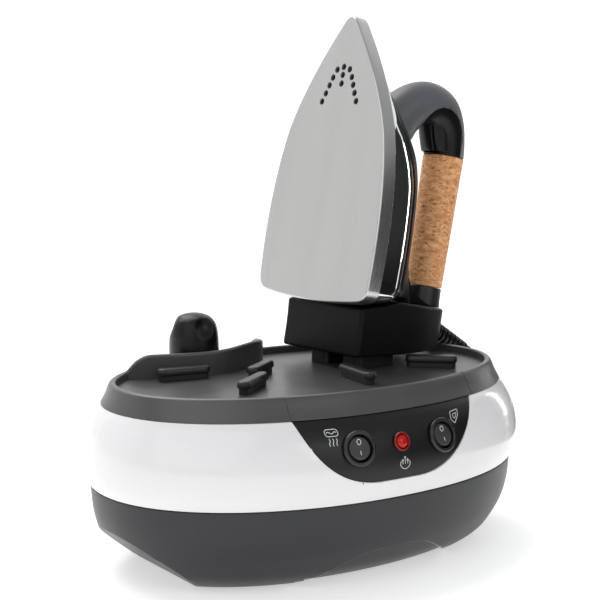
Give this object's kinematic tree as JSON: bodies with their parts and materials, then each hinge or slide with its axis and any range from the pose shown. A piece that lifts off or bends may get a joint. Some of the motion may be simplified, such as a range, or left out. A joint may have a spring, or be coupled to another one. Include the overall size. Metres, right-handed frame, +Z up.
{
  "type": "steam ironing station",
  "caption": "Steam iron with a cork handle standing on its heel on an oval boiler base with rocker switches and a boiler cap, joined by a steam hose.",
  "frame": {"origin": "on the surface it stands on, under the centre of the iron and its base together, hose left out", "axes": "+Z up, -Y out of the control panel, -X out of the iron's soleplate, +X towards its handle"},
  "size_m": [0.3506, 0.3467, 0.3599],
  "materials": {
    "dark_shell": "satin dark grey moulded plastic with a fine texture",
    "white_shell": "glossy white moulded plastic",
    "black_rubber": "matt black rubber",
    "steel": "dull stainless steel",
    "brass": "dull machined brass",
    "black_plastic": "satin near-black plastic",
    "grey_plastic": "satin mid-grey plastic",
    "red_plastic": "glossy clear red plastic",
    "hose_sleeve": "matt dark rubber hose",
    "sole_metal": "brushed aluminium with fine lengthwise scratches",
    "chrome_trim": "bright chrome plating",
    "cork": "oiled cork with dark grain"
  },
  "bodies": {
    "base": {"lower_housing": "dark_shell", "bottom_pan": "dark_shell", "middle_band": "white_shell", "control_panel": "dark_shell", "top_cover": "dark_shell", "front_rim": "dark_shell", "rest_pad_1": "black_rubber", "rest_pad_2": "black_rubber", "rest_pad_3": "black_rubber", "rest_pad_4": "black_rubber", "rest_pad_5": "black_rubber", "rubber_foot_1": "black_rubber", "rubber_foot_2": "black_rubber", "rubber_foot_3": "black_rubber", "rubber_foot_4": "black_rubber", "base_screw_1": "steel", "base_screw_2": "steel", "base_screw_3": "steel", "base_screw_4": "steel", "boiler_tank": "steel", "boiler_neck": "brass", "boiler_heater": "steel", "pressure_switch": "black_plastic", "steam_valve": "brass", "boiler_pipe": "steel", "steam_pipe": "steel", "terminal_block": "white_shell", "hose_gland": "black_plastic", "mains_gland": "black_plastic", "switch_bezel_left": "black_plastic", "switch_bezel_right": "black_plastic", "lamp_bezel": "red_plastic", "lamp_lens": "red_plastic", "steam_hose_drop": "hose_sleeve", "steam_hose_coil": "hose_sleeve", "steam_hose_return": "hose_sleeve"},
    "iron": {"soleplate": "sole_metal", "steam_chamber_cover": "steel", "sole_heater": "steel", "sole_thermostat": "brass", "skirt": "chrome_trim", "platform": "black_plastic", "handle_arch": "grey_plastic", "handle_arch_insert": "black_plastic", "cork_grip": "cork", "rear_ferrule": "grey_plastic", "handle_core": "steel", "trigger_microswitch": "black_plastic", "heel_block": "black_plastic", "iron_terminal_block": "white_shell", "steam_inlet_pipe": "steel", "heel_foot_1": "black_rubber", "heel_foot_2": "black_rubber", "hose_boot": "black_plastic"},
    "cap_seal": {"cap_gasket": "black_rubber"},
    "cap": {"boiler_cap": "black_plastic"},
    "left_switch": {"rocker_left": "grey_plastic"},
    "right_switch": {"rocker_right": "grey_plastic"},
    "dial": {"temperature_dial": "black_plastic"},
    "trigger": {"steam_trigger": "grey_plastic"}
  },
  "joints": [
    {"name": "iron_lift", "type": "slide", "parent": "base", "child": "iron", "axis": [0, 0, 1], "range_m": [0, 0.1]},
    {"name": "cap_rise", "type": "slide", "parent": "base", "child": "cap_seal", "axis": [0, 0, 1], "range_m": [0, 0.0076]},
    {"name": "cap_turn", "type": "hinge", "parent": "cap_seal", "child": "cap", "pos_m": [-0.0555, 0.0578, 0.12], "axis": [0, 0, 1], "range_deg": [0, 1080]},
    {"name": "left_rock", "type": "hinge", "parent": "base", "child": "left_switch", "pos_m": [-0.0359, -0.10278, 0.09157], "axis": [0.9907, -0.1357, 0], "range_deg": [0, 16]},
    {"name": "right_rock", "type": "hinge", "parent": "base", "child": "right_switch", "pos_m": [0.02892, -0.10363, 0.09157], "axis": [0.9943, 0.1064, 0], "range_deg": [0, 16]},
    {"name": "dial_turn", "type": "hinge", "parent": "iron", "child": "dial", "pos_m": [0.09736, 0.02689, 0.21213], "axis": [0.9765, 0.0854, -0.1977], "range_deg": [0, 270]},
    {"name": "trigger_press", "type": "hinge", "parent": "iron", "child": "trigger", "pos_m": [0.12379, 0.02921, 0.28941], "axis": [0.0872, -0.9962, 0], "range_deg": [0, 7], "stiffness_Nm_per_rad": 0.04, "springref_deg": -14.32}
  ],
  "couplings": [
    {"joint": "cap_rise", "follows": "cap_turn", "m_per_rad": 0.00039789}
  ]
}
